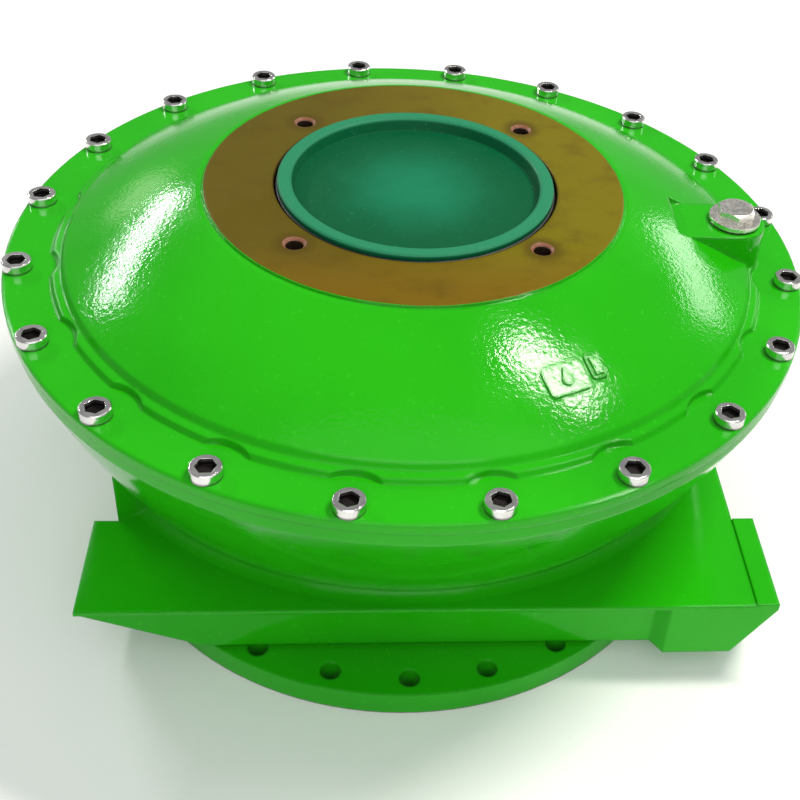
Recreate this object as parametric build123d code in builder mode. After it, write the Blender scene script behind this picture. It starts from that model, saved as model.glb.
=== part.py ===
from build123d import *
from math import atan2, cos, degrees, pi, radians, sin, tan
import os

os.makedirs("parts", exist_ok=True)

# ---------------------------------------------------------------------------
# Driving dimensions, millimetres.  Origin: centre of the bottom mounting face.
# +Z up, worm axis along X on the front (-Y) side.
# ---------------------------------------------------------------------------

# Heights
FLANGE_TOP = 24          # top of the round mounting flange
BOX_BOTTOM = 28          # underside of the worm box
BOX_TOP = 89             # top ledge of the worm box
HOUSING_TOP = 291        # joint face between housing and cover
RIM_TOP = 301            # top of the cover's flat rim
PAD_TOP = 364            # machined pad in the middle of the cover

# Cover
COVER_R = 347.5
SCREW_CIRCLE_R = 335
SCREW_COUNT = 20
FIRST_SCREW_ANGLE = 9    # degrees, from +X
DOWEL_R = 5
DOWEL_ANGLES = (0, 180)
STEP_R = 311             # raised step inside the screws
SHOULDER_R = 297         # foot of the cone
CONE_BASE_TOP = 312      # height of the cone at its foot
PAD_R = 181
PAD_LIP = 5              # painted edge round the pad
CAP_BORE_R = 122
PAD_HOLE_CIRCLE_R = 141
PAD_HOLE_DEPTH = 16
M16_TAP_R = 7

# M16 screws
M16_R = 8
M16_CLEARANCE = 0.75
M16_HEAD_R = 12
M16_HEAD_H = 9
M16_HEX = 14             # across flats
M16_HEX_DEPTH = 6
M16_HEAD_CHAMFER = 0.8
SCREW_REACH = 22         # length below the head

# Mounting flange
FLANGE_R = 282.5
FLANGE_HOLE_CIRCLE_R = 264
FLANGE_HOLE_COUNT = 24
FLANGE_HOLE_R = 9

# Drum: an ellipse at the ledge that grows into the round top
DRUM_TOP_R = 345
DRUM_FLANGE_H = 13       # straight collar that takes the cover screws
DRUM_MIDDLE = (175, 0.5)  # height, and share of the way from the foot to the top
DRUM_FOOT_HALF_X = 292
DRUM_FOOT_FRONT = -222
DRUM_FOOT_BACK = 290
DRUM_WALL = 16
DRUM_BASE_INSET = 30     # the straight base below the foot is this much smaller at the sides
DRUM_BASE_INSET_Y = 12   # and this much at front and back
FOOT_FILLET = ((0, 14), (4, 5), (13, -2))  # height above the ledge, spread past the foot

# Worm box
BOX_LEFT = -258
BOX_RIGHT = 303
BOX_FRONT = -243
PAD_LEFT = -279          # outer faces of the two end pads
PAD_RIGHT = 323
END_PAD_BACK = -138
BOX_BACK = 20
LIP_H = 4                # thin front lip of the ledge
RECESS = 14              # the front wall stands back behind the lip
RECESS_SLOPE = 10
END_BLOCK_START = 227    # full-depth block at the input end
INPUT_PAD_RAISE = 2      # the input end pad stands this much above the ledge

# Worm gear
MODULE = 5
WHEEL_TEETH = 70
WORM_PITCH_R = 17
PRESSURE_ANGLE = 20
TOOTH_GAP = 0.5          # clearance on each flank
FACE_WIDTH = 30
GEAR_Z = 58.5            # height of the worm axis and of the wheel's middle
WHEEL_PITCH_R = MODULE * WHEEL_TEETH / 2
CENTRE_DISTANCE = WHEEL_PITCH_R + WORM_PITCH_R
WORM_Y = -CENTRE_DISTANCE
AXIAL_PITCH = pi * MODULE
WORM_TURNS = 8

# Hollow drive sleeve
SLEEVE_R = 105
SLEEVE_BORE_R = 85
SLEEVE_BOTTOM = 1
SLEEVE_TOP = 347
KEYWAY_W = 40
KEYWAY_DEPTH = 8
RUNNING_FIT = 0.05

# Worm bearings (25 x 47 x 12)
BEARING_BORE_R = 12.5
BEARING_OUTER_R = 23.5
BEARING_W = 12
BEARING_X = 110
BALL_R = 3.9
BALL_CIRCLE_R = 18
BALL_COUNT = 10


def finish(piece, name):
    """Label a finished piece and write its STEP file."""
    piece.part.label = name
    export_step(piece.part, f"parts/{name}.step")


# ---------------------------------------------------------------------------
# Housing
# ---------------------------------------------------------------------------

FOOT_CENTRE_Y = (DRUM_FOOT_FRONT + DRUM_FOOT_BACK) / 2
FOOT_HALF_Y = (DRUM_FOOT_BACK - DRUM_FOOT_FRONT) / 2
CHAMBER_R = 190
CHAMBER_FLOOR = 16
CHAMBER_STEP = 100
DRUM_INNER_TOP_R = 318
LOWER_BORE_R = 112
FLOOR_BOSS_R = 134
LEFT_WALL_TOP = 150
LEFT_WALL_END = -150
LEFT_WALL_SHIFT = 60     # how far the taller wall runs back past the end pad
WORM_BORE_R = BEARING_OUTER_R
WORM_BORE_LEFT = -BEARING_X - BEARING_W / 2
WORM_TAIL_R = 15         # cored hole past the left bearing, out to the left face
WORM_TAIL_DRAFT = 0.5    # degrees
CORE_PLUG_DEPTH = 2
CORE_PLUG_W = 8

CIRCLIP_X = 290
CIRCLIP_R = 25.5
CIRCLIP_W = 2.2
SEAL_INNER_R = 320
SEAL_OUTER_R = 324.5
SEAL_H = 3
SEAL_GAP = 0.2           # room on each side of the seal in its groove
DRAIN_BACK = 296         # outer face of the drain boss
DRAIN_BOSS_R = 22
DRAIN_BOSS_DEPTH = 26
DRAIN_Z = 52
DRAIN_R = 8

# Slanted corner cuts: three points in each cut's face, then one on the side that is cut away
CORNER_CUTS = (
    ((PAD_LEFT, BOX_FRONT + RECESS - 3, 72), (-165, BOX_FRONT + RECESS - 3, 26),
     (PAD_LEFT, -188, 26), (PAD_LEFT - 5, BOX_FRONT + RECESS - 6, 20)),
    ((PAD_RIGHT, BOX_FRONT, 84), (288, BOX_FRONT, 26),
     (PAD_RIGHT, -202, 26), (PAD_RIGHT + 5, BOX_FRONT - 6, 20)),
)
CORNER_CUT_SIZE = 400
CORNER_CUT_DEPTH = 80

drain_plane = Plane(origin=(0, DRAIN_BACK, DRAIN_Z), x_dir=(1, 0, 0), z_dir=(0, -1, 0))
worm_axis = Plane(origin=(0, WORM_Y, GEAR_Z), x_dir=(0, 1, 0), z_dir=(1, 0, 0))


def drum_section(share):
    """Half width, centre and half depth of the drum between foot (0) and top (1)."""
    half_x = DRUM_FOOT_HALF_X + (DRUM_TOP_R - DRUM_FOOT_HALF_X) * share
    half_y = FOOT_HALF_Y + (DRUM_TOP_R - FOOT_HALF_Y) * share
    return half_x, half_y, FOOT_CENTRE_Y * (1 - share)


foot_x, foot_y, foot_centre = drum_section(0)
base_x = foot_x - DRUM_BASE_INSET
base_y = foot_y - DRUM_BASE_INSET_Y
base_centre = foot_centre + DRUM_BASE_INSET_Y
OVERLAP = 4

# Rounded foot of the drum where it stands on the ledge
with BuildPart() as foot_fillet:
    for rise, spread in FOOT_FILLET:
        with BuildSketch(Plane.XY.offset(BOX_TOP + rise)):
            with Locations((0, foot_centre)):
                Ellipse(foot_x + spread, foot_y + spread)
    loft()
    with BuildSketch(Plane.XY.offset(BOX_TOP)):
        Polygon(
            (BOX_LEFT, BOX_FRONT), (BOX_RIGHT, BOX_FRONT), (BOX_RIGHT, BOX_BACK),
            (BOX_LEFT, BOX_BACK), align=None,
        )
    extrude(amount=FOOT_FILLET[-1][0], mode=Mode.INTERSECT)

with BuildPart() as housing:
    # Worm box with its ledge and end pads
    with BuildSketch(Plane.XY.offset(BOX_BOTTOM)):
        Polygon(
            (BOX_LEFT, BOX_FRONT), (BOX_RIGHT, BOX_FRONT), (BOX_RIGHT, BOX_BACK),
            (BOX_LEFT, BOX_BACK), align=None,
        )
        Polygon(
            (PAD_LEFT, BOX_FRONT), (BOX_RIGHT, BOX_FRONT), (BOX_RIGHT, END_PAD_BACK),
            (PAD_LEFT, END_PAD_BACK), align=None,
        )
    extrude(amount=BOX_TOP - BOX_BOTTOM)
    with BuildSketch(Plane.XY.offset(BOX_BOTTOM)):
        Polygon(
            (BOX_RIGHT, BOX_FRONT), (PAD_RIGHT, BOX_FRONT), (PAD_RIGHT, END_PAD_BACK),
            (BOX_RIGHT, END_PAD_BACK), align=None,
        )
    extrude(amount=BOX_TOP + INPUT_PAD_RAISE - BOX_BOTTOM)
    # Recess under the front lip
    with BuildSketch(Plane.XY.offset(BOX_BOTTOM)):
        Polygon(
            (PAD_LEFT, BOX_FRONT), (END_BLOCK_START, BOX_FRONT),
            (END_BLOCK_START - RECESS_SLOPE, BOX_FRONT + RECESS), (PAD_LEFT, BOX_FRONT + RECESS),
            align=None,
        )
    extrude(amount=BOX_TOP - BOX_BOTTOM - LIP_H, mode=Mode.SUBTRACT)
    # Slanted cuts across the two lower front corners
    for corner in CORNER_CUTS:
        first, second, third, outside = (Vector(*point) for point in corner)
        normal = (second - first).cross(third - first).normalized()
        if normal.dot(outside - first) < 0:
            normal = -normal
        with BuildSketch(Plane(origin=first, z_dir=normal)):
            Rectangle(CORNER_CUT_SIZE, CORNER_CUT_SIZE)
        extrude(amount=CORNER_CUT_DEPTH, mode=Mode.SUBTRACT)
    # Mounting flange
    with BuildSketch(Plane.XY):
        Circle(FLANGE_R)
    extrude(amount=FLANGE_TOP)
    # Drum: straight base, then a flare up to the round joint face
    with BuildSketch(Plane.XY.offset(FLANGE_TOP - OVERLAP)):
        with Locations((0, base_centre)):
            Ellipse(base_x, base_y)
    extrude(amount=BOX_TOP - FLANGE_TOP + OVERLAP)
    for height, share in ((BOX_TOP, 0.0), DRUM_MIDDLE, (HOUSING_TOP - DRUM_FLANGE_H, 1.0)):
        half_x, half_y, centre_y = drum_section(share)
        with BuildSketch(Plane.XY.offset(height)):
            with Locations((0, centre_y)):
                Ellipse(half_x, half_y)
    loft()
    with BuildSketch(Plane.XY.offset(HOUSING_TOP - DRUM_FLANGE_H)):
        Circle(DRUM_TOP_R)
    extrude(amount=DRUM_FLANGE_H)
    add(foot_fillet.part)
    # Taller wall at the rear left of the box
    with BuildSketch(Plane.XY.offset(BOX_BOTTOM)):
        Polygon(
            (BOX_LEFT, END_PAD_BACK), (LEFT_WALL_END, END_PAD_BACK + LEFT_WALL_SHIFT),
            (LEFT_WALL_END, BOX_BACK + LEFT_WALL_SHIFT), (BOX_LEFT, BOX_BACK + LEFT_WALL_SHIFT),
            align=None,
        )
    extrude(amount=LEFT_WALL_TOP - BOX_BOTTOM)
    # Wheel chamber, and the hollow of the drum above it
    with BuildSketch(Plane.XY.offset(CHAMBER_FLOOR)):
        Circle(CHAMBER_R)
        with Locations((0, base_centre)):
            Ellipse(base_x - DRUM_WALL, base_y - DRUM_WALL)
    extrude(amount=CHAMBER_STEP - CHAMBER_FLOOR, mode=Mode.SUBTRACT)
    with BuildSketch(Plane.XY.offset(CHAMBER_STEP - 1)):
        with Locations((0, base_centre)):
            Ellipse(base_x - DRUM_WALL, base_y - DRUM_WALL)
    with BuildSketch(Plane.XY.offset(HOUSING_TOP - DRUM_FLANGE_H)):
        Circle(DRUM_INNER_TOP_R)
    loft(mode=Mode.SUBTRACT)
    with BuildSketch(Plane.XY.offset(HOUSING_TOP - DRUM_FLANGE_H)):
        Circle(DRUM_INNER_TOP_R)
    extrude(amount=DRUM_FLANGE_H, mode=Mode.SUBTRACT)
    # Boss that carries the thrust washer, and the lower bore
    with BuildSketch(Plane.XY):
        Circle(FLOOR_BOSS_R)
    extrude(amount=FLANGE_TOP)
    with BuildSketch(Plane.XY):
        Circle(LOWER_BORE_R)
    extrude(amount=FLANGE_TOP, mode=Mode.SUBTRACT)
    # Worm bore from the right, with a cored hole on past the left bearing
    with BuildSketch(worm_axis.offset(WORM_BORE_LEFT)):
        Circle(WORM_BORE_R)
    extrude(amount=PAD_RIGHT - WORM_BORE_LEFT, mode=Mode.SUBTRACT)
    with BuildSketch(worm_axis.offset(PAD_LEFT)):
        Circle(WORM_TAIL_R)
    extrude(
        amount=WORM_BORE_LEFT - PAD_LEFT + OVERLAP, taper=WORM_TAIL_DRAFT, mode=Mode.SUBTRACT
    )
    with BuildSketch(worm_axis.offset(CIRCLIP_X)):
        Circle(CIRCLIP_R)
    extrude(amount=CIRCLIP_W, mode=Mode.SUBTRACT)
    # Drain boss at the back
    with BuildSketch(drain_plane):
        Circle(DRAIN_BOSS_R)
    extrude(amount=DRAIN_BOSS_DEPTH)
    with BuildSketch(drain_plane):
        Circle(DRAIN_R + RUNNING_FIT)
    extrude(amount=DRAIN_BOSS_DEPTH, mode=Mode.SUBTRACT)
    # Bolt holes, screw holes, dowel holes and the seal groove
    with BuildSketch(Plane.XY):
        with PolarLocations(FLANGE_HOLE_CIRCLE_R, FLANGE_HOLE_COUNT):
            Circle(FLANGE_HOLE_R)
    extrude(amount=FLANGE_TOP, mode=Mode.SUBTRACT)
    with BuildSketch(Plane.XY.offset(HOUSING_TOP)):
        with PolarLocations(SCREW_CIRCLE_R, SCREW_COUNT, FIRST_SCREW_ANGLE):
            Circle(M16_TAP_R)
        for angle in DOWEL_ANGLES:
            with PolarLocations(SCREW_CIRCLE_R, 1, angle):
                Circle(DOWEL_R)
    extrude(amount=-DRUM_FLANGE_H, mode=Mode.SUBTRACT)
    with BuildSketch(Plane.XY.offset(HOUSING_TOP)):
        Circle(SEAL_OUTER_R)
        Circle(SEAL_INNER_R, mode=Mode.SUBTRACT)
    extrude(amount=-SEAL_H, mode=Mode.SUBTRACT)
finish(housing, "housing")


# ---------------------------------------------------------------------------
# Cover
# ---------------------------------------------------------------------------

HUB_OUTER_R = 134
HUB_BOTTOM = 300
CAP_LEDGE = 350
SPIGOT_R = DRUM_INNER_TOP_R - 0.3   # locating fit in the drum
SPIGOT_H = 8
CONE_TOP_R = PAD_R + PAD_LIP
CONE_BULGE = 3
SCALLOP_R = 33
PLUG_X = 284
PLUG_Y = -12
PLUG_BOSS_TOP = 340
PLUG_BOSS_R = 28
PLUG_R = 16.5
BEAD_INNER = (SHOULDER_R + 3, 306.5)     # radius and height along the step inside the screws
BEAD_OUTER = (STEP_R - 4, 305.5)
BEAD_FOOT_R = STEP_R - 2
COVER_EDGE = 1.5         # chamfer round the rim
SPIGOT_W = 16
ROOF_FOOT = (SHOULDER_R - 14, CONE_BASE_TOP - 16)
ROOF_TOP = (CONE_TOP_R - 10, PAD_TOP - 18)
PAD_STEP = 2             # the pad stands this much above its painted edge
BORE_EDGE = 1
CONE_TOP_Z = PAD_TOP - PAD_STEP
CONE_SLOPE = degrees(atan2(CONE_TOP_Z - CONE_BASE_TOP, SHOULDER_R - CONE_TOP_R))
COUNTERSINK = 2.5
PLUG_HOLE_DEPTH = 60
PLUG_BOSS_LENGTH = 60
PLUG_BOSS_CUT = 56       # length of the flat top
BOSS_CUT_H = 12
SCALLOP_H = 12
DOWEL_SINK = 12
DOWEL_RISE = 7
MARK_RADIUS = 253        # where the blank cast pad sits on the cone
MARK_ANGLE = -65
MARK_SIZE = (36, 26, 5)  # along, across, corner radius
MARK_SINK = 4
MARK_RISE = 1.5
DROP_R = 4.5
DROP_BOTTOM = -2
DROP_POINT = 9
DROP_SHOULDER = (0.9 * DROP_R, -1)
BLOCK_SIZE = (14, 22, 4)
BLOCK_FACE = (8, 16, 1)
BLOCK_PLACE = (28, 3)

screw_places = PolarLocations(SCREW_CIRCLE_R, SCREW_COUNT, FIRST_SCREW_ANGLE)

with BuildPart() as cover:
    with BuildSketch(Plane.XZ):
        with BuildLine():
            Polyline(
                (SHOULDER_R, CONE_BASE_TOP), BEAD_INNER, BEAD_OUTER, (BEAD_FOOT_R, RIM_TOP),
                (COVER_R - COVER_EDGE, RIM_TOP), (COVER_R, RIM_TOP - COVER_EDGE),
                (COVER_R, HOUSING_TOP), (SPIGOT_R, HOUSING_TOP),
                (SPIGOT_R, HOUSING_TOP - SPIGOT_H), (SPIGOT_R - SPIGOT_W, HOUSING_TOP - SPIGOT_H),
                ROOF_FOOT, ROOF_TOP, (HUB_OUTER_R, ROOF_TOP[1]), (HUB_OUTER_R, HUB_BOTTOM),
                (LOWER_BORE_R, HUB_BOTTOM), (LOWER_BORE_R, CAP_LEDGE), (CAP_BORE_R, CAP_LEDGE),
                (CAP_BORE_R, PAD_TOP - BORE_EDGE), (CAP_BORE_R + BORE_EDGE, PAD_TOP),
                (PAD_R, PAD_TOP), (PAD_R, CONE_TOP_Z), (CONE_TOP_R, CONE_TOP_Z),
            )
            ThreePointArc(
                (CONE_TOP_R, CONE_TOP_Z),
                ((CONE_TOP_R + SHOULDER_R) / 2 + CONE_BULGE * sin(radians(CONE_SLOPE)),
                 (CONE_TOP_Z + CONE_BASE_TOP) / 2 + CONE_BULGE * cos(radians(CONE_SLOPE))),
                (SHOULDER_R, CONE_BASE_TOP),
            )
        make_face()
    revolve(axis=Axis.Z)
    # Flat scallops that clear the screw heads
    with BuildSketch(Plane.XY.offset(RIM_TOP)):
        with screw_places:
            Circle(SCALLOP_R)
    extrude(amount=SCALLOP_H, mode=Mode.SUBTRACT)
    # Filler boss: flat top that runs out into the cone, round outboard end
    with BuildSketch(Plane.XY.offset(RIM_TOP)):
        with Locations((PLUG_X, PLUG_Y)):
            Circle(PLUG_BOSS_R)
            Rectangle(PLUG_BOSS_LENGTH, 2 * PLUG_BOSS_R, align=(Align.MAX, Align.CENTER))
    extrude(amount=PLUG_BOSS_TOP - RIM_TOP)
    with BuildSketch(Plane.XY.offset(PLUG_BOSS_TOP)):
        with Locations((PLUG_X, PLUG_Y)):
            Rectangle(PLUG_BOSS_CUT, 2 * PLUG_BOSS_R, align=(Align.MAX, Align.CENTER))
    extrude(amount=BOSS_CUT_H, mode=Mode.SUBTRACT)
    with BuildSketch(Plane.XY.offset(PLUG_BOSS_TOP)):
        with Locations((PLUG_X, PLUG_Y)):
            Circle(PLUG_R + RUNNING_FIT)
    extrude(amount=-PLUG_HOLE_DEPTH, mode=Mode.SUBTRACT)
    # Tapped holes in the machined pad, with a countersunk mouth
    with BuildSketch(Plane.XY.offset(PAD_TOP)):
        with PolarLocations(PAD_HOLE_CIRCLE_R, 4, 45):
            Circle(M16_TAP_R)
    extrude(amount=-PAD_HOLE_DEPTH, mode=Mode.SUBTRACT)
    with BuildSketch(Plane.XY.offset(PAD_TOP)):
        with PolarLocations(PAD_HOLE_CIRCLE_R, 4, 45):
            Circle(M16_TAP_R + COUNTERSINK)
    extrude(amount=-COUNTERSINK, taper=45, mode=Mode.SUBTRACT)
    # Screw clearance holes and dowel holes
    with BuildSketch(Plane.XY.offset(HOUSING_TOP)):
        with screw_places:
            Circle(M16_R + M16_CLEARANCE)
    extrude(amount=RIM_TOP - HOUSING_TOP, mode=Mode.SUBTRACT)
    with BuildSketch(Plane.XY.offset(HOUSING_TOP)):
        for angle in DOWEL_ANGLES:
            with PolarLocations(SCREW_CIRCLE_R, 1, angle):
                Circle(DOWEL_R)
    extrude(amount=DOWEL_RISE + 1, mode=Mode.SUBTRACT)
    # Cast pad with a raised drop and a plain block beside it
    mark_z = CONE_BASE_TOP + (SHOULDER_R - MARK_RADIUS) * tan(radians(CONE_SLOPE)) + CONE_BULGE
    mark_plane = Plane(
        origin=(MARK_RADIUS * cos(radians(MARK_ANGLE)), MARK_RADIUS * sin(radians(MARK_ANGLE)), mark_z),
        x_dir=(-sin(radians(MARK_ANGLE)), cos(radians(MARK_ANGLE)), 0),
        z_dir=(cos(radians(MARK_ANGLE)) * sin(radians(CONE_SLOPE)),
               sin(radians(MARK_ANGLE)) * sin(radians(CONE_SLOPE)), cos(radians(CONE_SLOPE))),
    )
    with BuildSketch(mark_plane.offset(-MARK_SINK)):
        RectangleRounded(*MARK_SIZE)
        with Locations(BLOCK_PLACE):
            RectangleRounded(*BLOCK_SIZE)
    extrude(amount=MARK_SINK + MARK_RISE)
    with BuildSketch(mark_plane):
        with Locations((0, DROP_BOTTOM)):
            Circle(DROP_R)
        side, shoulder = DROP_SHOULDER
        Polygon((-side, shoulder), (side, shoulder), (0, DROP_POINT), align=None)
        with Locations(BLOCK_PLACE):
            RectangleRounded(*BLOCK_FACE)
    extrude(amount=2 * MARK_RISE)
finish(cover, "cover")


with BuildPart() as cover_seal:
    with BuildSketch(Plane.XY.offset(HOUSING_TOP - SEAL_H)):
        Circle(SEAL_OUTER_R - SEAL_GAP)
        Circle(SEAL_INNER_R + SEAL_GAP, mode=Mode.SUBTRACT)
    extrude(amount=SEAL_H)
finish(cover_seal, "cover_seal")


with BuildPart() as cover_screws:
    with BuildSketch(Plane.XY.offset(RIM_TOP - SCREW_REACH)):
        with screw_places:
            Circle(M16_TAP_R)
    extrude(amount=SCREW_REACH)
    with BuildSketch(Plane.XY.offset(RIM_TOP)):
        with screw_places:
            Circle(M16_HEAD_R)
    extrude(amount=M16_HEAD_H)
    chamfer(cover_screws.edges().group_by(Axis.Z)[-1], M16_HEAD_CHAMFER)
    with BuildSketch(Plane.XY.offset(RIM_TOP + M16_HEAD_H)):
        with screw_places:
            RegularPolygon(M16_HEX / 2, 6, major_radius=False)
    extrude(amount=-M16_HEX_DEPTH, mode=Mode.SUBTRACT)
finish(cover_screws, "cover_screws")


with BuildPart() as cover_dowels:
    with BuildSketch(Plane.XY.offset(HOUSING_TOP - DOWEL_SINK)):
        for angle in DOWEL_ANGLES:
            with PolarLocations(SCREW_CIRCLE_R, 1, angle):
                Circle(DOWEL_R)
    extrude(amount=DOWEL_SINK + DOWEL_RISE)
finish(cover_dowels, "cover_dowels")


# ---------------------------------------------------------------------------
# Filler plug, drain plug and dust cap (all lift off)
# ---------------------------------------------------------------------------

WASHER_H = 2
HEX_TOP_SHARE = 0.48     # radius of a plug's flat top, as a share of the width across flats
HEX_BEVEL = 60
HEX_TURN = 25

# Thread, collar and hex head of each plug, then the outer radius of its washer
FILLER = {"thread": (PLUG_R, 22), "collar": (23, 4), "hexagon": (30, 9), "washer": 22.5}
DRAIN = {"thread": (DRAIN_R, 18), "collar": (13, 4), "hexagon": (19, 9), "washer": 12}


def make_plug(plane, thread, collar, hexagon):
    """Hex-headed screw plug standing on a plane, thread pointing down.

    Each size is a radius (or width across flats) and a height.
    """
    head_plane = plane.offset(WASHER_H + collar[1])
    with BuildPart() as head:
        with BuildSketch(head_plane):
            RegularPolygon(hexagon[0] / 2, 6, major_radius=False, rotation=HEX_TURN)
        extrude(amount=hexagon[1])
        with BuildSketch(head_plane.offset(hexagon[1])):
            Circle(HEX_TOP_SHARE * hexagon[0])
        extrude(amount=-hexagon[1], taper=-HEX_BEVEL, mode=Mode.INTERSECT)
    with BuildPart() as plug:
        add(head.part)
        for (radius, height), side in ((collar, 1), (thread, -1)):
            with BuildSketch(plane.offset(WASHER_H)):
                Circle(radius)
            extrude(amount=side * height)
    return plug


def make_ring(plane, inner_r, outer_r, height):
    """Plain flat ring standing on a plane."""
    with BuildPart() as ring:
        with BuildSketch(plane):
            Circle(outer_r)
            Circle(inner_r, mode=Mode.SUBTRACT)
        extrude(amount=height)
    return ring


filler_plane = Plane(origin=(PLUG_X, PLUG_Y, PLUG_BOSS_TOP))
drain_outward = Plane(origin=(0, DRAIN_BACK, DRAIN_Z), x_dir=(-1, 0, 0), z_dir=(0, 1, 0))

for plug_name, plug_plane, sizes in (
    ("filler_plug", filler_plane, FILLER),
    ("drain_plug", drain_outward, DRAIN),
):
    plug = make_plug(plug_plane, sizes["thread"], sizes["collar"], sizes["hexagon"])
    finish(plug, plug_name)
    washer = make_ring(plug_plane, sizes["thread"][0], sizes["washer"], WASHER_H)
    finish(washer, f"{plug_name}_washer")

CAP_R = 119
CAP_TOP = 368
CAP_FLOOR = 357
CAP_RING_R = 1.4
CAP_RING_Z = 361
CAP_FLOOR_T = 3
CAP_SKIRT_T = 6
CAP_SKIRT_GAP = 1        # between the skirt's foot and the ledge in the bore
CAP_EDGE = 1.5
CAP_RIM = (10, 12, 15)   # from the outside: end of the flat, of the inner edge, of the slope
RING_GROOVE = CAP_RING_R + 0.1

with BuildPart() as dust_cap:
    with BuildSketch(Plane.XZ):
        Polygon(
            (0, CAP_FLOOR - CAP_FLOOR_T), (CAP_R - CAP_SKIRT_T, CAP_FLOOR - CAP_FLOOR_T),
            (CAP_R - CAP_SKIRT_T, CAP_LEDGE + CAP_SKIRT_GAP), (CAP_R, CAP_LEDGE + CAP_SKIRT_GAP),
            (CAP_R, CAP_RING_Z - RING_GROOVE), (CAP_R - CAP_RING_R, CAP_RING_Z - RING_GROOVE),
            (CAP_R - CAP_RING_R, CAP_RING_Z + RING_GROOVE), (CAP_R, CAP_RING_Z + RING_GROOVE),
            (CAP_R, CAP_TOP - CAP_EDGE), (CAP_R - CAP_EDGE, CAP_TOP), (CAP_R - CAP_RIM[0], CAP_TOP),
            (CAP_R - CAP_RIM[1], CAP_TOP - CAP_EDGE), (CAP_R - CAP_RIM[2], CAP_FLOOR),
            (0, CAP_FLOOR), align=None,
        )
    revolve(axis=Axis.Z)
finish(dust_cap, "dust_cap")

with BuildPart() as dust_cap_ring:
    with BuildSketch(Plane.XZ):
        with Locations((CAP_R, CAP_RING_Z)):
            Circle(CAP_RING_R)
    revolve(axis=Axis.Z)
finish(dust_cap_ring, "dust_cap_ring")


# ---------------------------------------------------------------------------
# Output: hollow sleeve, worm wheel rim and its screws
# ---------------------------------------------------------------------------

RIM_BOTTOM = GEAR_Z - FACE_WIDTH / 2
RIM_INNER_R = 125
HUB_FLANGE_R = 154
HUB_FLANGE_BOTTOM = 28
COLLAR_BOTTOM = 270
COLLAR_TOP = 296
WHEEL_SCREW_CIRCLE_R = 139
WHEEL_SCREW_COUNT = 12
RIM_SEAT_H = FACE_WIDTH + 6      # straight seat of the rim on the hub
HUB_TAPER_H = 10
M10_R = 5
M10_CLEARANCE = 0.5
M10_HEX = 8              # across flats
M10_TAP_R = 4.25
M10_HEAD_R = 8
M10_HEAD_H = 10
COUNTERBORE_GAP = 1      # room round and over the screw heads in the rim
SCREW_END_GAP = 2

with BuildPart() as drive_sleeve:
    with BuildSketch(Plane.XZ):
        Polygon(
            (SLEEVE_BORE_R, SLEEVE_BOTTOM), (SLEEVE_R, SLEEVE_BOTTOM),
            (SLEEVE_R, HUB_FLANGE_BOTTOM), (HUB_FLANGE_R, HUB_FLANGE_BOTTOM),
            (HUB_FLANGE_R, RIM_BOTTOM), (RIM_INNER_R, RIM_BOTTOM),
            (RIM_INNER_R, RIM_BOTTOM + RIM_SEAT_H), (SLEEVE_R, RIM_BOTTOM + RIM_SEAT_H + HUB_TAPER_H),
            (SLEEVE_R, COLLAR_BOTTOM), (RIM_INNER_R, COLLAR_BOTTOM), (RIM_INNER_R, COLLAR_TOP),
            (SLEEVE_R, COLLAR_TOP), (SLEEVE_R, SLEEVE_TOP), (SLEEVE_BORE_R, SLEEVE_TOP),
            align=None,
        )
    revolve(axis=Axis.Z)
    with BuildSketch(Plane.XY.offset(SLEEVE_BOTTOM)):
        Rectangle(2 * (SLEEVE_BORE_R + KEYWAY_DEPTH), KEYWAY_W)
    extrude(amount=SLEEVE_TOP - SLEEVE_BOTTOM, mode=Mode.SUBTRACT)
    with BuildSketch(Plane.XY.offset(RIM_BOTTOM)):
        with PolarLocations(WHEEL_SCREW_CIRCLE_R, WHEEL_SCREW_COUNT):
            Circle(M10_TAP_R)
    extrude(amount=HUB_FLANGE_BOTTOM - RIM_BOTTOM, mode=Mode.SUBTRACT)
finish(drive_sleeve, "drive_sleeve")

TOOTH_THICKNESS = AXIAL_PITCH / 2 - TOOTH_GAP
WHEEL_DEDENDUM = 1.25 * MODULE
WORM_DEDENDUM = 1.2 * MODULE
WHEEL_ROOT_R = WHEEL_PITCH_R - WHEEL_DEDENDUM
WHEEL_TIP_R = WHEEL_PITCH_R + MODULE
WORM_ROOT_R = WORM_PITCH_R - WORM_DEDENDUM
WORM_TIP_R = WORM_PITCH_R + MODULE
TOOTH_TWIST = degrees(FACE_WIDTH * AXIAL_PITCH / (2 * pi * WORM_PITCH_R) / WHEEL_PITCH_R)


def half_tooth(height):
    """Half thickness of a tooth at a height above the pitch line."""
    return TOOTH_THICKNESS / 2 - height * tan(radians(PRESSURE_ANGLE))


def wheel_outline():
    """Corners of the toothed outline, one tooth after another."""
    corners = []
    for tooth in range(WHEEL_TEETH):
        middle = -pi / 2 + 2 * pi * tooth / WHEEL_TEETH
        for side, radii in ((-1, (WHEEL_ROOT_R, WHEEL_TIP_R)), (1, (WHEEL_TIP_R, WHEEL_ROOT_R))):
            for radius in radii:
                angle = middle + side * half_tooth(radius - WHEEL_PITCH_R) / radius
                corners.append((radius * cos(angle), radius * sin(angle)))
    return corners


with BuildSketch() as wheel_face:
    Polygon(*wheel_outline(), align=None)
    Circle(RIM_INNER_R, mode=Mode.SUBTRACT)
toothed_rim = Solid.extrude_linear_with_rotation(
    wheel_face.sketch.face(), (0, 0, 0), (0, 0, FACE_WIDTH), TOOTH_TWIST
)

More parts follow.
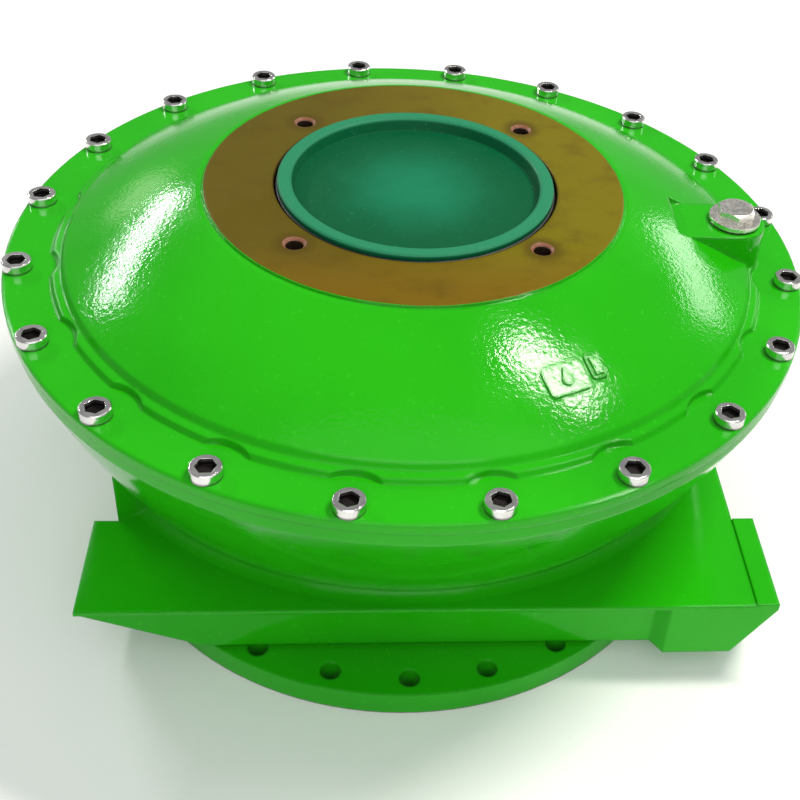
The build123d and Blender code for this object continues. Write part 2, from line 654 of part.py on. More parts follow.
with BuildPart() as worm_wheel_rim:
    add(Pos(0, 0, RIM_BOTTOM) * Rot(0, 0, -TOOTH_TWIST / 2) * toothed_rim)
    with BuildSketch(Plane.XY.offset(RIM_BOTTOM)):
        with PolarLocations(WHEEL_SCREW_CIRCLE_R, WHEEL_SCREW_COUNT):
            Circle(M10_R + M10_CLEARANCE)
    extrude(amount=FACE_WIDTH, mode=Mode.SUBTRACT)
    with BuildSketch(Plane.XY.offset(RIM_BOTTOM + FACE_WIDTH)):
        with PolarLocations(WHEEL_SCREW_CIRCLE_R, WHEEL_SCREW_COUNT):
            Circle(M10_HEAD_R + COUNTERBORE_GAP)
    extrude(amount=-M10_HEAD_H - COUNTERBORE_GAP, mode=Mode.SUBTRACT)
finish(worm_wheel_rim, "worm_wheel_rim")

with BuildPart() as wheel_screws:
    head_seat = RIM_BOTTOM + FACE_WIDTH - M10_HEAD_H - COUNTERBORE_GAP
    with BuildSketch(Plane.XY.offset(HUB_FLANGE_BOTTOM + SCREW_END_GAP)):
        with PolarLocations(WHEEL_SCREW_CIRCLE_R, WHEEL_SCREW_COUNT):
            Circle(M10_TAP_R)
    extrude(amount=head_seat - HUB_FLANGE_BOTTOM - SCREW_END_GAP)
    with BuildSketch(Plane.XY.offset(head_seat)):
        with PolarLocations(WHEEL_SCREW_CIRCLE_R, WHEEL_SCREW_COUNT):
            Circle(M10_HEAD_R)
            RegularPolygon(M10_HEX / 2, 6, major_radius=False, mode=Mode.SUBTRACT)
    extrude(amount=M10_HEAD_H)
    with BuildSketch(Plane.XY.offset(head_seat)):
        with PolarLocations(WHEEL_SCREW_CIRCLE_R, WHEEL_SCREW_COUNT):
            Circle(M10_HEAD_R)
    extrude(amount=M10_HEAD_H / 2)
finish(wheel_screws, "wheel_screws")


# ---------------------------------------------------------------------------
# Bushes, thrust washers and seals of the sleeve
# ---------------------------------------------------------------------------

JOURNAL_R = SLEEVE_R + RUNNING_FIT
THRUST_INNER_R = 106
THRUST_OUTER_R = 130
THRUST_T = HUB_FLANGE_BOTTOM - FLANGE_TOP - RUNNING_FIT
LOWER_SEAL = (2, 6)      # bottom and height, here and below
LOWER_BUSH = (8.5, 15.5)
UPPER_BUSH = (HUB_BOTTOM + 2, 32)
UPPER_SEAL = (HUB_BOTTOM + 36, 10)

for ring_name, inner_r, outer_r, (bottom, height) in (
    ("lower_seal", JOURNAL_R, LOWER_BORE_R, LOWER_SEAL),
    ("lower_bush", JOURNAL_R, LOWER_BORE_R, LOWER_BUSH),
    ("lower_thrust_washer", THRUST_INNER_R, THRUST_OUTER_R, (FLANGE_TOP, THRUST_T)),
    ("upper_thrust_washer", THRUST_INNER_R, THRUST_OUTER_R, (COLLAR_TOP + RUNNING_FIT, THRUST_T)),
    ("upper_bush", JOURNAL_R, LOWER_BORE_R, UPPER_BUSH),
    ("upper_seal", JOURNAL_R, LOWER_BORE_R, UPPER_SEAL),
):
    finish(make_ring(Plane.XY.offset(bottom), inner_r, outer_r, height), ring_name)


# ---------------------------------------------------------------------------
# Worm shaft with its bearings, spacer, seal, plug and retaining ring
# ---------------------------------------------------------------------------

WORM_SHOULDER_R = 15
WORM_STUB = 6            # past the left bearing
WORM_LEFT_END = -BEARING_X - BEARING_W / 2 - WORM_STUB
WORM_RIGHT_END = 318
SEAL_JOURNAL_X = 262
INPUT_BORE_R = 9
INPUT_BORE_DEPTH = 45
INPUT_KEYWAY = (6, 5.6)  # width, and height centred on the bore's wall
THREAD_LENGTH = AXIAL_PITCH * WORM_TURNS


def worm_corner(radius, side):
    """A corner of the thread's cross-section, in the plane across the axis."""
    turn = pi + side * 2 * pi * half_tooth(radius - WORM_PITCH_R) / AXIAL_PITCH
    return radius * cos(turn), radius * sin(turn)


def flank(side):
    """Spiral flank of the thread's cross-section, root to tip."""
    steps = 6
    radii = [WORM_ROOT_R + (WORM_TIP_R - WORM_ROOT_R) * k / steps for k in range(steps + 1)]
    return [worm_corner(radius, side) for radius in radii]


with BuildSketch() as thread_face:
    with BuildLine():
        Spline(*flank(-1))
        Spline(*flank(1))
        ThreePointArc(worm_corner(WORM_TIP_R, -1), (-WORM_TIP_R, 0), worm_corner(WORM_TIP_R, 1))
        ThreePointArc(worm_corner(WORM_ROOT_R, -1), (WORM_ROOT_R, 0), worm_corner(WORM_ROOT_R, 1))
    make_face()
thread = Solid.extrude_linear_with_rotation(
    thread_face.sketch.face(), (0, 0, 0), (0, 0, THREAD_LENGTH), 360 * WORM_TURNS
)
thread_start = Plane(
    origin=(-THREAD_LENGTH / 2, WORM_Y, GEAR_Z), x_dir=(0, 1, 0), z_dir=(1, 0, 0)
)

with BuildPart() as worm_shaft:
    add(thread_start.location * thread)
    for start, end, radius in (
        (WORM_LEFT_END, -BEARING_X + BEARING_W / 2, BEARING_BORE_R),
        (-BEARING_X + BEARING_W / 2, -THREAD_LENGTH / 2, WORM_SHOULDER_R),
        (THREAD_LENGTH / 2, BEARING_X - BEARING_W / 2, WORM_SHOULDER_R),
        (BEARING_X - BEARING_W / 2, SEAL_JOURNAL_X, BEARING_BORE_R),
        (SEAL_JOURNAL_X, WORM_RIGHT_END, WORM_SHOULDER_R),
    ):
        with BuildSketch(worm_axis.offset(start)):
            Circle(radius)
        extrude(amount=end - start)
    with BuildSketch(worm_axis.offset(WORM_RIGHT_END)):
        Circle(INPUT_BORE_R)
        with Locations((0, INPUT_BORE_R)):
            Rectangle(*INPUT_KEYWAY)
    extrude(amount=-INPUT_BORE_DEPTH, mode=Mode.SUBTRACT)
finish(worm_shaft, "worm_shaft")

GROOVE_R = BALL_R + 0.1
INNER_RING_R = 15.6
OUTER_RING_R = 20.4
CAGE_W = 9.5
CAGE_HALF_T = 1.2
CAGE_CUT = BALL_CIRCLE_R + 3
BEARING_PLACES = {"left": -BEARING_X, "right": BEARING_X}


def make_race(middle, inner_r, outer_r):
    """One bearing ring with its ball groove."""
    with BuildPart() as race:
        with BuildSketch(worm_axis.offset(middle - BEARING_W / 2)):
            Circle(outer_r)
            Circle(inner_r, mode=Mode.SUBTRACT)
        extrude(amount=BEARING_W)
        with BuildSketch(Plane(origin=(middle, WORM_Y, GEAR_Z), x_dir=(1, 0, 0), z_dir=(0, 0, 1))):
            with Locations((0, BALL_CIRCLE_R)):
                Circle(GROOVE_R)
        revolve(axis=Axis((middle, WORM_Y, GEAR_Z), (1, 0, 0)), mode=Mode.SUBTRACT)
    return race


for side, middle in BEARING_PLACES.items():
    finish(make_race(middle, BEARING_BORE_R, INNER_RING_R), f"{side}_bearing_inner_ring")
    finish(make_race(middle, OUTER_RING_R, BEARING_OUTER_R), f"{side}_bearing_outer_ring")
    ball_plane = worm_axis.offset(middle)
    with BuildPart(ball_plane) as balls:
        with PolarLocations(BALL_CIRCLE_R, BALL_COUNT):
            Sphere(BALL_R)
    finish(balls, f"{side}_bearing_balls")
    with BuildPart() as cage:
        with BuildSketch(worm_axis.offset(middle - CAGE_W / 2)):
            Circle(BALL_CIRCLE_R + CAGE_HALF_T)
            Circle(BALL_CIRCLE_R - CAGE_HALF_T, mode=Mode.SUBTRACT)
        extrude(amount=CAGE_W)
        for ball in range(BALL_COUNT):
            turn = radians(360 * ball / BALL_COUNT)
            outward = (0, cos(turn), sin(turn))
            with BuildSketch(Plane(origin=(middle, WORM_Y, GEAR_Z), x_dir=(1, 0, 0), z_dir=outward)):
                Circle(GROOVE_R)
            extrude(amount=CAGE_CUT, mode=Mode.SUBTRACT)
    finish(cage, f"{side}_bearing_cage")

SEAL_X = 265
SEAL_W = 9
RETAINER_W = CIRCLIP_X - SEAL_X - SEAL_W
SPACER_INNER_R = 19
RETAINER_INNER_R = 17
PUSH_FIT = 0.02

for ring_name, inner_r, start, length in (
    ("worm_spacer", SPACER_INNER_R, BEARING_X + BEARING_W / 2, SEAL_X - BEARING_X - BEARING_W / 2),
    ("input_seal", WORM_SHOULDER_R + RUNNING_FIT, SEAL_X, SEAL_W),
    ("input_retainer", RETAINER_INNER_R, SEAL_X + SEAL_W, RETAINER_W),
):
    finish(make_ring(worm_axis.offset(start), inner_r, WORM_BORE_R - PUSH_FIT, length), ring_name)

CIRCLIP_INNER_R = 20
CIRCLIP_GAP = (9, 14)    # opening between the ends
CIRCLIP_FIT = 0.2        # room in the groove

with BuildPart() as input_circlip:
    with BuildSketch(worm_axis.offset(CIRCLIP_X)):
        Circle(CIRCLIP_R - CIRCLIP_FIT)
        Circle(CIRCLIP_INNER_R, mode=Mode.SUBTRACT)
        with Locations((0, -CIRCLIP_R)):
            Rectangle(*CIRCLIP_GAP, mode=Mode.SUBTRACT)
    extrude(amount=CIRCLIP_W - CIRCLIP_FIT)
finish(input_circlip, "input_circlip")

PLUG_END_R = WORM_TAIL_R - CORE_PLUG_DEPTH * tan(radians(WORM_TAIL_DRAFT))
PLUG_RIM = 3

with BuildPart() as worm_core_plug:
    with BuildSketch(worm_axis.offset(PAD_LEFT + CORE_PLUG_DEPTH)):
        Circle(PLUG_END_R)
    extrude(amount=CORE_PLUG_W, taper=WORM_TAIL_DRAFT)
    with BuildSketch(worm_axis.offset(PAD_LEFT + CORE_PLUG_DEPTH)):
        Circle(PLUG_END_R - PLUG_RIM)
    extrude(amount=CORE_PLUG_W / 2, mode=Mode.SUBTRACT)
finish(worm_core_plug, "worm_core_plug")
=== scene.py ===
from math import pi, radians

import bpy
from mathutils import Matrix, Vector


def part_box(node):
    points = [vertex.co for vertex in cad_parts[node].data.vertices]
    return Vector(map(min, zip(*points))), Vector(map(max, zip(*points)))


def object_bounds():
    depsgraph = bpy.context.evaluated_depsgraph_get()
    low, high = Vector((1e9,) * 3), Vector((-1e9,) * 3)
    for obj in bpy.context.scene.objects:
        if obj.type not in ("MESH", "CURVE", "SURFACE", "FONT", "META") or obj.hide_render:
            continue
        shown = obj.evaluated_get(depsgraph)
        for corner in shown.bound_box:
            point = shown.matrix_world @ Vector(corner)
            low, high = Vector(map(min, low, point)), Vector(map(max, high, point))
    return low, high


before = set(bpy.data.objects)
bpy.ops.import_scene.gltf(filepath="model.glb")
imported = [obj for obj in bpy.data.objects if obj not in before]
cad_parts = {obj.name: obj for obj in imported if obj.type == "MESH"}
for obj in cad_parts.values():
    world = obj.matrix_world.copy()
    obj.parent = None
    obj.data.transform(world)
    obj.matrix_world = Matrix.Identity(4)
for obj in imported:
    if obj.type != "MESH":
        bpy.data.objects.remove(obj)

CAD_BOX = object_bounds()

# ---------------------------------------------------------------------------
# Places worked out from the frame (metres)
# ---------------------------------------------------------------------------

HEAD_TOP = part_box("cover_screws")[1][2]
PAD_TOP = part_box("cover")[1][2]
CAP_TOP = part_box("dust_cap")[1][2]
FLOOR_TOP = CAD_BOX[0][2] - 0.0005      # just clear of the flange's face

# Sizes of the CAD model that the materials follow
PAD_RADIUS = 0.181          # machined ring round the cap
CONE_RADIUS = 0.297         # foot of the cover's cone
PAD_HOLE_XY = 0.0997        # each tapped hole's distance along X and along Y
CHAMFER_RADIUS = 0.0096
HOLE_RADIUS = 0.0072
CAP_BORE_RADIUS = 0.1225
SCREW_COUNT = 20
FIRST_SCREW_TURN = radians(9)
SCREW_CIRCLE_RADIUS = 0.335
SOCKET_RADIUS = 0.0083

# Spans over which one finish gives way to another
FILM_SIDES = (-0.04, 0.20)              # along X: dark olive to light olive
FILM_FRONT = (-0.165, -0.09)            # along Y: amber to olive
FILM_RADIUS = PAD_RADIUS - 0.0003       # the film stops just inside the pad's edge
FILM_EDGE_SPREAD = 0.0012               # how far that edge wanders inwards
FILM_LOWEST = PAD_TOP - 0.0035
HOLE_STAIN = (0.010, 0.022)             # radii round each tapped hole
SOCKET_SHADE = (HEAD_TOP - 0.0035, HEAD_TOP - 0.0004)
SCREW_FOOT_SHADE = (HEAD_TOP - 0.0085, HEAD_TOP - 0.006)
CAP_RIM_HEIGHTS = (CAP_TOP - 0.004, CAP_TOP - 0.0008)
CAP_MIDDLE = (0.008, 0.085)             # radii of the lighter middle
FOOT_FACE = 0.0006                      # the housing is bare metal below this height

# ---------------------------------------------------------------------------
# Camera
# ---------------------------------------------------------------------------

CAMERA_PLACE = Vector((-0.046, -0.955, HEAD_TOP + 0.6256))
CAMERA_HEADING = radians(8.6)      # turned right of +Y
CAMERA_DROP = radians(38.15)       # looking down
CAMERA_ROLL = radians(6.14)
CAMERA_LENS = 57.3
CAMERA_SHIFT = (-0.1395, -0.0593)


def add_camera():
    data = bpy.data.cameras.new("camera")
    data.lens = CAMERA_LENS
    data.sensor_width = 36
    data.shift_x, data.shift_y = CAMERA_SHIFT
    camera = bpy.data.objects.new("camera", data)
    bpy.context.scene.collection.objects.link(camera)
    turn = (
        Matrix.Rotation(-CAMERA_HEADING, 4, "Z")
        @ Matrix.Rotation(pi / 2 - CAMERA_DROP, 4, "X")
        @ Matrix.Rotation(CAMERA_ROLL, 4, "Z")
    )
    camera.matrix_world = Matrix.Translation(CAMERA_PLACE) @ turn
    bpy.context.scene.camera = camera


# ---------------------------------------------------------------------------
# Stage and light
# ---------------------------------------------------------------------------

WORLD_STRENGTH = 0.32
FLOOR_SIZE = 14
FLOOR_WHITE = (0.9, 0.9, 0.9, 1)
WHITE = (1, 1, 1)
# name: place, width and depth, watts
SOFTBOXES = {
    "top_softbox": (Vector((0.2, -1.5, 3.3)), (3.6, 2.0), 18),
    "front_softbox": (Vector((-0.2, -2.9, 2.3)), (2.8, 1.2), 44),
}
# Narrow windows whose mirror images lie on the cone as bright streaks
# name: one end, other end, width, watts, colour
WINDOWS = {
    "left_window": ((-1.41, 2.12, 1.28), (-2.08, 1.23, 1.64), 0.11, 23, WHITE),
    "dim_window": ((-1.33, 2.30, 0.85), (-1.70, 2.03, 1.03), 0.28, 1.0, (1, 0.95, 0.8)),
    "middle_window": ((0.86, 0.30, 2.81), (1.50, -0.08, 2.51), 0.30, 56, (1, 0.97, 0.88)),
    "right_window": ((1.69, 1.96, 1.16), (2.17, 1.17, 1.54), 0.30, 9, (1, 1, 0.96)),
}
LIGHT_TARGET = Vector((0, -0.1, 0.3))
SOFTBOX_DEPTH_AXIS = Vector((0, 1, 0))


def add_floor():
    bpy.ops.mesh.primitive_plane_add(size=FLOOR_SIZE, location=(0, 0, FLOOR_TOP))
    floor = bpy.context.object
    floor.name = "floor"
    material = bpy.data.materials.new("floor")
    material.use_nodes = True
    shader = material.node_tree.nodes["Principled BSDF"]
    shader.inputs["Base Color"].default_value = FLOOR_WHITE
    shader.inputs["Roughness"].default_value = 0.9
    shader.inputs["Specular IOR Level"].default_value = 0.1
    floor.data.materials.append(material)


def add_light(name, place, size, watts, second_side, colour):
    """Rectangular light facing the gearbox; size's second number lies along second_side."""
    data = bpy.data.lights.new(name, "AREA")
    data.shape = "RECTANGLE"
    data.size, data.size_y = size
    data.energy = watts
    data.color = colour
    light = bpy.data.objects.new(name, data)
    bpy.context.scene.collection.objects.link(light)
    backward = (place - LIGHT_TARGET).normalized()
    across = second_side.cross(backward).normalized()
    axes = Matrix((across, backward.cross(across), backward)).transposed()
    light.matrix_world = Matrix.Translation(place) @ axes.to_4x4()


def add_lights():
    for name, (place, size, watts) in SOFTBOXES.items():
        add_light(name, place, size, watts, SOFTBOX_DEPTH_AXIS, WHITE)
    for name, (start, end, width, watts, colour) in WINDOWS.items():
        run = Vector(end) - Vector(start)
        middle = (Vector(start) + Vector(end)) / 2
        add_light(name, middle, (width, run.length), watts, run, colour)
    world = bpy.data.worlds.new("studio")
    world.use_nodes = True
    background = world.node_tree.nodes["Background"]
    background.inputs["Color"].default_value = (*WHITE, 1)
    background.inputs["Strength"].default_value = WORLD_STRENGTH
    bpy.context.scene.world = world


# ---------------------------------------------------------------------------
# Material building blocks
# ---------------------------------------------------------------------------

# The Mix node's colour sockets, which share their names with its other sockets
MIX_FIRST_COLOUR, MIX_SECOND_COLOUR, MIX_RESULT_COLOUR = 6, 7, 2


class Paint:
    """A node material under construction, with short names for the common nodes."""

    def __init__(self, name):
        self.material = bpy.data.materials.new(name)
        self.material.use_nodes = True
        self.tree = self.material.node_tree
        self.shader = self.tree.nodes["Principled BSDF"]
        self.place = self.node("ShaderNodeTexCoord").outputs["Object"]

    def node(self, kind, **settings):
        """A new node with its settings, which come before its sockets are used."""
        made = self.tree.nodes.new(kind)
        for key, value in settings.items():
            setattr(made, key, value)
        return made

    def feed(self, socket, value):
        """Link a socket to another one, or set it to a constant."""
        if isinstance(value, bpy.types.NodeSocket):
            self.tree.links.new(value, socket)
        elif isinstance(value, tuple) and len(value) == 3 and socket.type == "RGBA":
            socket.default_value = (*value, 1)
        else:
            socket.default_value = value

    def math(self, operation, *values):
        made = self.node("ShaderNodeMath", operation=operation)
        for socket, value in zip(made.inputs, values):
            self.feed(socket, value)
        return made.outputs[0]

    def noise(self, scale, detail=2.0, roughness=0.5):
        made = self.node("ShaderNodeTexNoise")
        self.feed(made.inputs["Vector"], self.place)
        made.inputs["Scale"].default_value = scale
        made.inputs["Detail"].default_value = detail
        made.inputs["Roughness"].default_value = roughness
        return made.outputs["Fac"]

    def spread(self, value, low, high, to_low=0.0, to_high=1.0):
        """Map low..high of a value onto another span, clamped and smoothed."""
        made = self.node("ShaderNodeMapRange", interpolation_type="SMOOTHSTEP")
        for socket, number in zip(made.inputs, (value, low, high, to_low, to_high)):
            self.feed(socket, number)
        return made.outputs["Result"]

    def mix(self, share, first, second):
        made = self.node("ShaderNodeMix", data_type="RGBA")
        self.feed(made.inputs["Factor"], share)
        self.feed(made.inputs[MIX_FIRST_COLOUR], first)
        self.feed(made.inputs[MIX_SECOND_COLOUR], second)
        return made.outputs[MIX_RESULT_COLOUR]

    def parts(self):
        """X, Y and Z of the place in the frame."""
        made = self.node("ShaderNodeSeparateXYZ")
        self.feed(made.inputs[0], self.place)
        return made.outputs[0], made.outputs[1], made.outputs[2]

    def rings(self, radius, scale):
        """Noise that changes only with the radius, like the marks of a lathe tool."""
        made = self.node("ShaderNodeTexNoise", noise_dimensions="1D")
        self.feed(made.inputs["W"], self.math("MULTIPLY", radius, scale))
        return made.outputs["Fac"]

    def length(self, *values):
        """Square root of the sum of squares."""
        squares = [self.math("MULTIPLY", value, value) for value in values]
        total = squares[0]
        for square in squares[1:]:
            total = self.math("ADD", total, square)
        return self.math("SQRT", total)

    def bump(self, height, distance, edge):
        """Relief of a height pattern, over edges rounded to the radius edge."""
        made = self.node("ShaderNodeBump")
        made.inputs["Strength"].default_value = 1.0
        made.inputs["Distance"].default_value = distance
        self.feed(made.inputs["Height"], height)
        rounded = self.node("ShaderNodeBevel", samples=4)
        rounded.inputs["Radius"].default_value = edge
        self.feed(made.inputs["Normal"], rounded.outputs[0])
        return made.outputs[0]

    def finish(self, colour, roughness, metallic, normal, specular=0.5):
        for name, value in (
            ("Base Color", colour), ("Roughness", roughness), ("Metallic", metallic),
            ("Normal", normal), ("Specular IOR Level", specular),
        ):
            self.feed(self.shader.inputs[name], value)
        return self.material


# ---------------------------------------------------------------------------
# Materials
# ---------------------------------------------------------------------------

GREEN = (0.017, 0.40, 0.004)
GREEN_DEEP = (0.013, 0.35, 0.003)
GREEN_SAG = (0.03, 0.50, 0.010)
ENAMEL_SPECULAR = 0.22
ENAMEL_RELIEF = 0.0011
HOUSING_GRAIN, RIM_GRAIN, CONE_GRAIN = 0.07, 0.04, 0.19     # shares of the relief
CAST_EDGE = 0.004
BARE_IRON = (0.30, 0.29, 0.27)
TURNED_IRON = (0.42, 0.40, 0.37)
FILM_LEFT = (0.090, 0.068, 0.0)
FILM_RIGHT = (0.150, 0.126, 0.0)
FILM_AMBER = (0.152, 0.084, 0.0)
FILM_STAIN = (0.072, 0.045, 0.0)
COPPER = (0.24, 0.10, 0.06)
# Painted shade: near black for the inside of the tapped holes
HOLE_PAINTED_SHADE = (0.020, 0.012, 0.008)
BORE_BROWN = (0.05, 0.03, 0.01)
ZINC_BRIGHT = (0.82, 0.81, 0.79)
ZINC_DULL = (0.62, 0.61, 0.61)
# Painted shade, with some oil, for the screws' sockets and the feet of their heads
SHADE_AND_OIL = (0.035, 0.030, 0.030)
CAP_FLOOR_COLOUR = (0.001, 0.088, 0.031)
CAP_CENTRE_COLOUR = (0.008, 0.190, 0.092)
CAP_RIM_COLOUR = (0.020, 0.205, 0.098)
CAP_SCUFF_COLOUR = (0.09, 0.36, 0.27)


def enamel_coat(paint, grain_share):
    """Colour, roughness and bump of the sprayed green enamel."""
    cloud = paint.noise(5.5, 3)
    colour = paint.mix(paint.spread(cloud, 0.35, 0.68), GREEN_DEEP, GREEN)
    drops = paint.noise(190, 2)
    colour = paint.mix(paint.spread(drops, 0.66, 0.74, 0, 0.4), colour, GREEN_SAG)
    roughness = paint.spread(paint.noise(22, 3), 0.3, 0.7, 0.08, 0.13)
    grain = paint.math("MULTIPLY", paint.noise(270, 2, 0.55), grain_share)
    peel = paint.math("MULTIPLY", paint.noise(70, 1.5), 0.10)
    return colour, roughness, paint.math("ADD", grain, peel)


def housing_enamel():
    paint = Paint("enamel_housing")
    _, _, z = paint.parts()
    colour, roughness, height = enamel_coat(paint, HOUSING_GRAIN)
    bare = paint.math("LESS_THAN", z, FOOT_FACE)
    turned = paint.noise(420, 1)
    colour = paint.mix(bare, colour, paint.mix(turned, BARE_IRON, TURNED_IRON))
    roughness = paint.math("MAXIMUM", roughness, paint.math("MULTIPLY", bare, 0.38))
    normal = paint.bump(height, ENAMEL_RELIEF, CAST_EDGE)
    return paint.finish(colour, roughness, bare, normal, ENAMEL_SPECULAR)


def film_colour(paint, x, y, radius):
    """Preservative film: olive at the sides, amber at the front, with stains and turning marks."""
    across = paint.math("ADD", x, paint.math("MULTIPLY", paint.noise(9, 3), 0.12))
    colour = paint.mix(paint.spread(across, *FILM_SIDES), FILM_LEFT, FILM_RIGHT)
    colour = paint.mix(paint.spread(y, *FILM_FRONT, 0.8, 0), colour, FILM_AMBER)
    stain = paint.spread(paint.noise(30, 4, 0.65), 0.45, 0.75, 0, 0.45)
    colour = paint.mix(stain, colour, FILM_STAIN)
    marks = paint.spread(paint.rings(radius, 900), 0.3, 0.8, 0, 0.2)
    return paint.mix(marks, colour, FILM_AMBER)


def cover_enamel():
    paint = Paint("enamel_cover")
    x, y, z = paint.parts()
    radius = paint.length(x, y)
    fade = (CONE_RADIUS - CAST_EDGE, CONE_RADIUS + CAST_EDGE)
    grain_share = paint.spread(radius, *fade, CONE_GRAIN, RIM_GRAIN)
    colour, roughness, height = enamel_coat(paint, grain_share)
    # Preservative film on the machined pad
    ragged = paint.math("MULTIPLY", paint.noise(60), FILM_EDGE_SPREAD)
    film = paint.math(
        "MULTIPLY",
        paint.math("LESS_THAN", paint.math("ADD", radius, ragged), FILM_RADIUS),
        paint.math("GREATER_THAN", z, FILM_LOWEST),
    )
    colour = paint.mix(film, colour, film_colour(paint, x, y, radius))
    # Tapped holes: stained ring, copper mouth, painted shade down the thread
    from_hole = paint.length(
        paint.math("SUBTRACT", paint.math("ABSOLUTE", x), PAD_HOLE_XY),
        paint.math("SUBTRACT", paint.math("ABSOLUTE", y), PAD_HOLE_XY),
    )
    halo = paint.math("MULTIPLY", paint.spread(from_hole, *HOLE_STAIN, 0.75, 0), film)
    colour = paint.mix(halo, colour, FILM_STAIN)
    mouth = paint.math("MULTIPLY", paint.math("LESS_THAN", from_hole, CHAMFER_RADIUS), film)
    colour = paint.mix(mouth, colour, COPPER)
    colour = paint.mix(paint.math("LESS_THAN", from_hole, HOLE_RADIUS), colour, HOLE_PAINTED_SHADE)
    bore = paint.math("LESS_THAN", radius, CAP_BORE_RADIUS)
    colour = paint.mix(bore, colour, BORE_BROWN)
    # The film is duller and flatter than the paint
    painted = paint.math("SUBTRACT", 1.0, film)
    film_gloss = paint.spread(paint.noise(28, 3), 0.3, 0.7, 0.26, 0.42)
    roughness = paint.math(
        "ADD",
        paint.math("MULTIPLY", roughness, painted),
        paint.math("MULTIPLY", film, film_gloss),
    )
    height = paint.math("MULTIPLY", height, paint.spread(film, 0, 1, 1.0, 0.2))
    normal = paint.bump(height, ENAMEL_RELIEF, CAST_EDGE)
    return paint.finish(colour, roughness, 0.0, normal, ENAMEL_SPECULAR)


def metal(name, colour, worn, roughness, grain=300, relief=0.00012):
    """Bare metal with cloudy tone, darker stains and a fine grain."""
    paint = Paint(name)
    cloud = paint.spread(paint.noise(26, 3), 0.3, 0.7)
    tone = paint.mix(cloud, colour, worn)
    dirt = paint.spread(paint.noise(90, 4, 0.65), 0.56, 0.74, 0, 0.35)
    tone = paint.mix(dirt, tone, tuple(0.25 * part for part in worn))
    gloss = paint.spread(paint.noise(grain, 2), 0.25, 0.75, 0.75 * roughness, 1.35 * roughness)
    normal = paint.bump(paint.noise(grain, 3), relief, edge=0.0005)
    return paint.finish(tone, gloss, 1.0, normal)


def zinc_screws():
    """Plated screw heads, their sockets darkened by painted shade and some oil, their feet by
    painted shade.
    """
    paint = Paint("zinc_plate")
    x, y, z = paint.parts()
    cloud = paint.spread(paint.noise(60, 3), 0.3, 0.7)
    colour = paint.mix(cloud, ZINC_BRIGHT, ZINC_DULL)
    # Place beside the nearest screw's own axis: along the circle's radius, and aside from it
    step = 2 * pi / SCREW_COUNT
    turn = paint.math("SUBTRACT", paint.math("ARCTAN2", y, x), FIRST_SCREW_TURN)
    offset = paint.math("WRAP", turn, step / 2, -step / 2)
    radius = paint.length(x, y)
    outward = paint.math("MULTIPLY", radius, paint.math("COSINE", offset))
    along = paint.math("SUBTRACT", outward, SCREW_CIRCLE_RADIUS)
    aside = paint.math("MULTIPLY", radius, paint.math("SINE", offset))
    inside = paint.math("LESS_THAN", paint.length(along, aside), SOCKET_RADIUS)
    # Painted shade with some oil down in each socket, and painted shade round each head's foot
    deep = paint.spread(z, *SOCKET_SHADE, 1.0, 0.0)
    socket = paint.math("MULTIPLY", inside, deep)
    foot = paint.spread(z, *SCREW_FOOT_SHADE, 0.7, 0.0)
    dark = paint.math("MAXIMUM", socket, foot)
    colour = paint.mix(dark, colour, SHADE_AND_OIL)
    gloss = paint.spread(paint.noise(380, 2), 0.25, 0.75, 0.14, 0.26)
    gloss = paint.math("ADD", gloss, paint.math("MULTIPLY", dark, 0.3))
    normal = paint.bump(paint.noise(380, 3), 0.0002, edge=0.0007)
    return paint.finish(colour, gloss, 1.0, normal)


def rubber(name, colour, second, roughness):
    """Rubber with a mottled tone."""
    paint = Paint(name)
    tone = paint.mix(paint.spread(paint.noise(60, 4, 0.6), 0.32, 0.7), colour, second)
    gloss = paint.spread(paint.noise(180, 2), 0.3, 0.7, 0.85 * roughness, 1.15 * roughness)
    normal = paint.bump(paint.noise(300, 3), 0.0002, edge=0.0006)
    return paint.finish(tone, gloss, 0.0, normal)


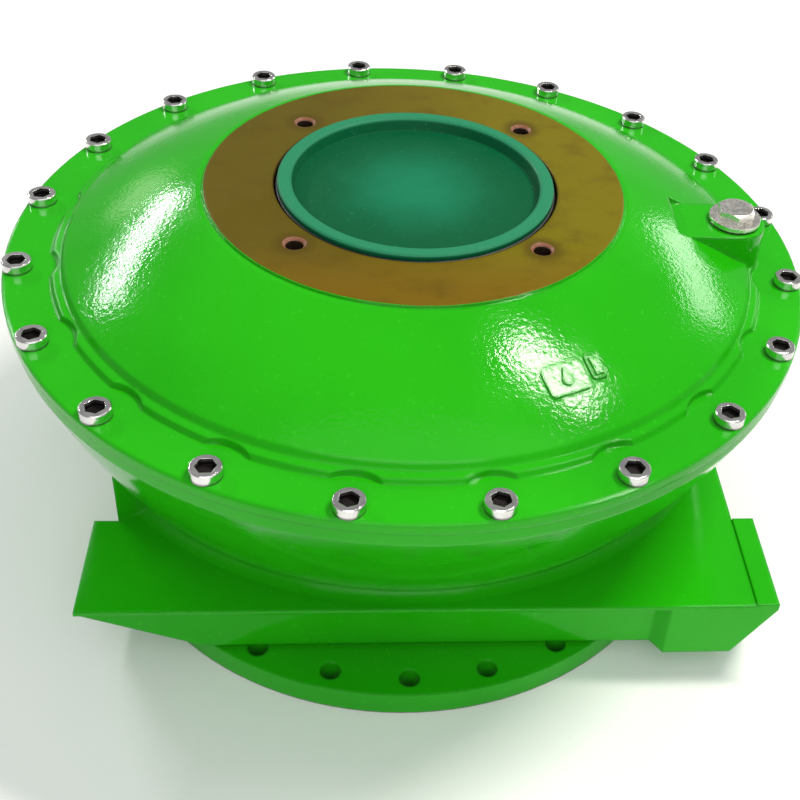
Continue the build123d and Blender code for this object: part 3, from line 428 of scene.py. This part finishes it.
def cap_plastic():
    """Moulded cap: lighter rim and middle, fine turning marks and scuffs."""
    paint = Paint("teal_cap")
    x, y, z = paint.parts()
    radius = paint.length(x, y)
    blotch = paint.math("MULTIPLY", paint.math("SUBTRACT", paint.noise(30, 2, 0.5), 0.5), 0.03)
    middle = paint.spread(paint.math("ADD", radius, blotch), *CAP_MIDDLE, 0.8, 0.0)
    colour = paint.mix(middle, CAP_FLOOR_COLOUR, CAP_CENTRE_COLOUR)
    rim = paint.spread(z, *CAP_RIM_HEIGHTS)
    colour = paint.mix(rim, colour, CAP_RIM_COLOUR)
    scuff = paint.spread(paint.noise(300, 3, 0.7), 0.62, 0.75, 0, 0.3)
    colour = paint.mix(scuff, colour, CAP_SCUFF_COLOUR)
    normal = paint.bump(paint.rings(radius, 600), 0.00012, edge=0.0012)
    gloss = paint.spread(paint.noise(50, 3), 0.3, 0.7, 0.36, 0.5)
    return paint.finish(colour, gloss, 0.0, normal, specular=0.12)


def dress():
    """Give every carried-over node its material."""
    plug = metal("plug_steel", (0.90, 0.88, 0.82), (0.76, 0.74, 0.69), 0.3, 320)
    bearing = metal("ground_steel", (0.68, 0.69, 0.70), (0.52, 0.53, 0.55), 0.16)
    bright = metal("machined_steel", (0.56, 0.57, 0.58), (0.40, 0.40, 0.41), 0.28)
    bronze = metal("bronze_rim", (0.62, 0.38, 0.15), (0.44, 0.25, 0.09), 0.3)
    brass = metal("brass_cage", (0.70, 0.52, 0.20), (0.50, 0.34, 0.12), 0.28)
    iron = metal("cast_iron", (0.20, 0.20, 0.205), (0.11, 0.11, 0.115), 0.45, 200, 0.0004)
    seal = rubber("black_rubber", (0.012, 0.012, 0.013), (0.03, 0.03, 0.032), 0.55)
    washer = rubber("plug_seal", (0.014, 0.013, 0.012), (0.035, 0.028, 0.024), 0.5)
    finishes = {
        "housing": housing_enamel(), "cover": cover_enamel(), "dust_cap": cap_plastic(),
        "cover_screws": zinc_screws(), "filler_plug": plug, "drain_plug": plug,
        "filler_plug_washer": washer, "drain_plug_washer": washer,
        "drive_sleeve": iron, "worm_wheel_rim": bronze,
    }
    for node in ("cover_seal", "lower_seal", "upper_seal", "input_seal", "dust_cap_ring"):
        finishes[node] = seal
    for node in ("lower_bush", "upper_bush", "lower_thrust_washer", "upper_thrust_washer"):
        finishes[node] = bronze
    for side in ("left", "right"):
        finishes[f"{side}_bearing_cage"] = brass
        for part in ("balls", "inner_ring", "outer_ring"):
            finishes[f"{side}_bearing_{part}"] = bearing
    for name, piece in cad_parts.items():
        piece.data.materials.clear()
        piece.data.materials.append(finishes.get(name, bright))


bpy.context.scene.view_settings.view_transform = "Standard"
add_camera()
add_floor()
add_lights()
dress()
